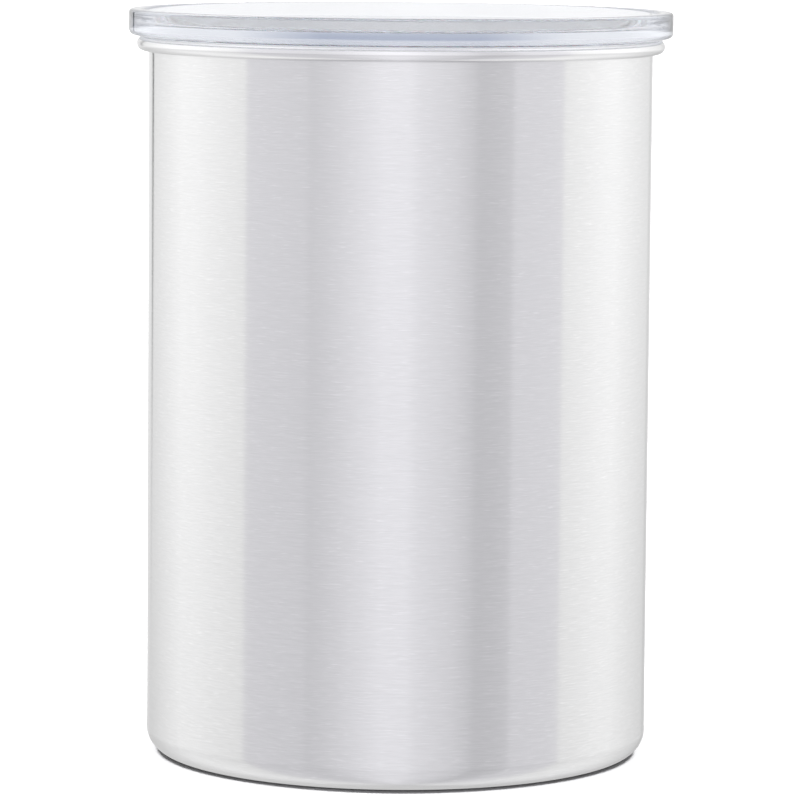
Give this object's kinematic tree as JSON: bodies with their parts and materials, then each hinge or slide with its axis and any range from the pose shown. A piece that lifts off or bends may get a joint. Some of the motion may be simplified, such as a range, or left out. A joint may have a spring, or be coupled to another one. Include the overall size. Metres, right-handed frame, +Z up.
{
  "type": "coffee canister with valve",
  "caption": "Cylindrical brushed-steel coffee canister with a clear lift-off lid and, inside, a sliding inner lid whose fold-down handle opens an air valve.",
  "frame": {"origin": "middle of the base, on the surface that the canister stands on", "axes": "+Z up along the can's axis, front towards -Y, the handle's hinge along X"},
  "size_m": [0.136, 0.136, 0.1868],
  "materials": {
    "brushed_can": "brushed round the can, polished rolled rim",
    "clear_lid": "clear, polished",
    "silicone": "matt, slightly translucent",
    "inner_lid_plastic": "fine moulded texture",
    "grey_plastic": "fine moulded texture",
    "valve_plastic": "smooth",
    "small_steel": "bright stainless"
  },
  "bodies": {
    "can": {"can_shell": "brushed_can"},
    "outer_lid": {"lid_cover": "clear_lid", "lid_seal": "silicone"},
    "inner_lid": {"plunger_body": "inner_lid_plastic", "plunger_seal": "silicone", "turret_cap": "grey_plastic", "cap_screws": "small_steel", "strainer": "inner_lid_plastic", "valve_spring": "small_steel"},
    "flip_handle": {"handle": "grey_plastic", "pivot_rod": "small_steel", "valve_cam": "valve_plastic"},
    "valve": {"valve_stem": "valve_plastic", "valve_disc": "silicone", "spring_washer": "small_steel", "spring_clip": "small_steel"}
  },
  "joints": [
    {"name": "lid_lift", "type": "slide", "parent": "can", "child": "outer_lid", "axis": [0, 0, 1], "range_m": [0, 0.06]},
    {"name": "inner_lid_slide", "type": "slide", "parent": "can", "child": "inner_lid", "axis": [0, 0, 1], "range_m": [-0.105, 0.003]},
    {"name": "handle_flip", "type": "hinge", "parent": "inner_lid", "child": "flip_handle", "pos_m": [0, 0, 0.12898], "axis": [-1, 0, 0], "range_deg": [0, 90]},
    {"name": "valve_lift", "type": "slide", "parent": "inner_lid", "child": "valve", "axis": [0, 0, 1], "range_m": [0, 0.0016], "deforming": ["valve_spring"]}
  ],
  "couplings": [
    {"joint": "valve_lift", "follows": "handle_flip", "m_per_rad": 0.0010186}
  ]
}
